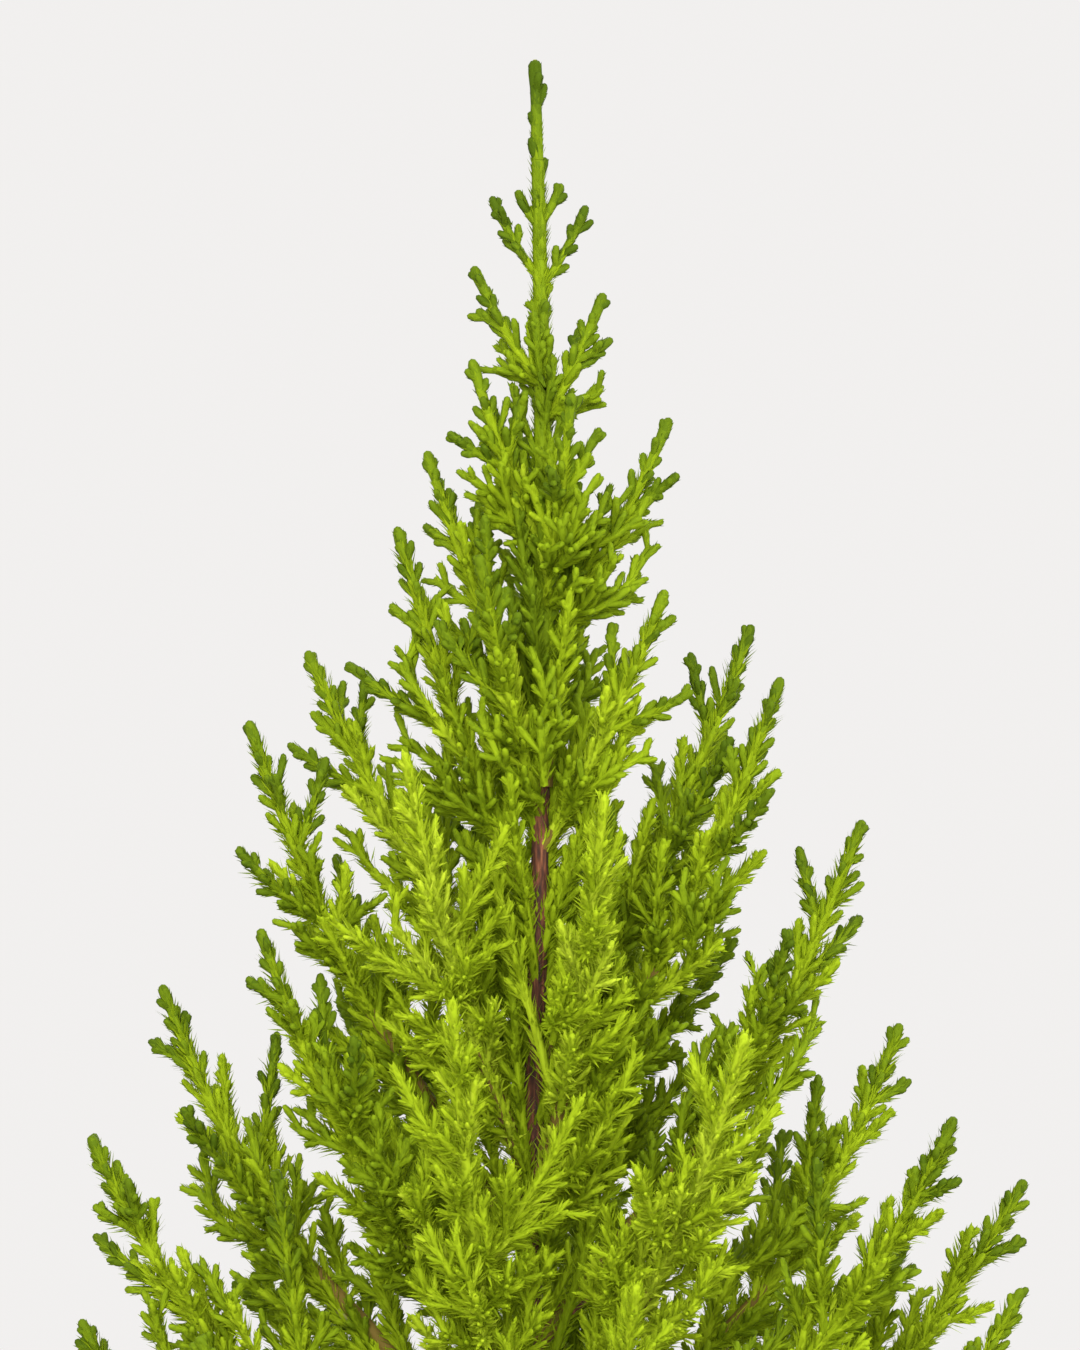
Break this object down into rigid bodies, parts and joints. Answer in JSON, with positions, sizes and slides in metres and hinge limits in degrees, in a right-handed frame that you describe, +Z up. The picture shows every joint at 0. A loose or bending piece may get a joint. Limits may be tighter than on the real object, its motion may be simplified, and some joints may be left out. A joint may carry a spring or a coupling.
{
  "type": "potted lemon cypress tree",
  "caption": "Young cone-shaped golden cypress with upright feathery plumes round a thin trunk, growing in a plain round clay pot.",
  "frame": {"origin": "middle of the pot's flat underside", "axes": "+Z up along the trunk, +X to the right and -Y to the front of the tree"},
  "size_m": [0.2874, 0.2598, 0.683],
  "materials": {
    "pot": "matte unglazed clay",
    "soil": "rough, granular, moist",
    "bark": "fibrous reddish-brown bark",
    "foliage": "soft matte needles"
  },
  "bodies": {
    "root": {"pot": "pot", "soil": "soil", "trunk": "bark", "bough_low_back": "bark", "bough_low_back_left": "bark", "bough_low_front_left": "bark", "bough_low_front_right": "bark", "bough_low_left": "bark", "bough_low_left_far": "bark", "bough_low_right": "bark", "bough_low_right_far": "bark", "bough_low_right_front": "bark", "bough_skirt_back_left": "bark", "bough_skirt_back_right": "bark", "bough_skirt_front": "bark", "bough_skirt_front_left": "bark", "bough_skirt_front_right": "bark", "bough_skirt_left": "bark", "bough_skirt_right": "bark", "foliage_base_back": "foliage", "foliage_base_front": "foliage", "foliage_base_front_right": "foliage", "foliage_base_left": "foliage", "foliage_base_right": "foliage", "foliage_crest_left": "foliage", "foliage_crest_right": "foliage", "foliage_low_back": "foliage", "foliage_low_back_left": "foliage", "foliage_low_front_left": "foliage", "foliage_low_front_right": "foliage", "foliage_low_left": "foliage", "foliage_low_left_far": "foliage", "foliage_low_right": "foliage", "foliage_low_right_far": "foliage", "foliage_low_right_front": "foliage", "foliage_mid_back": "foliage", "foliage_mid_back_right": "foliage", "foliage_mid_front": "foliage", "foliage_mid_front_left": "foliage", "foliage_mid_left": "foliage", "foliage_mid_left_high": "foliage", "foliage_mid_left_low": "foliage", "foliage_mid_right": "foliage", "foliage_mid_right_low": "foliage", "foliage_shoulder_back": "foliage", "foliage_shoulder_front": "foliage", "foliage_shoulder_left": "foliage", "foliage_shoulder_right": "foliage", "foliage_skirt_back_left": "foliage", "foliage_skirt_back_right": "foliage", "foliage_skirt_front": "foliage", "foliage_skirt_front_left": "foliage", "foliage_skirt_front_right": "foliage", "foliage_skirt_left": "foliage", "foliage_skirt_right": "foliage", "foliage_spire": "foliage", "foliage_upper_back": "foliage", "foliage_upper_front": "foliage", "foliage_upper_left": "foliage", "foliage_upper_right": "foliage"}
  },
  "joints": []
}
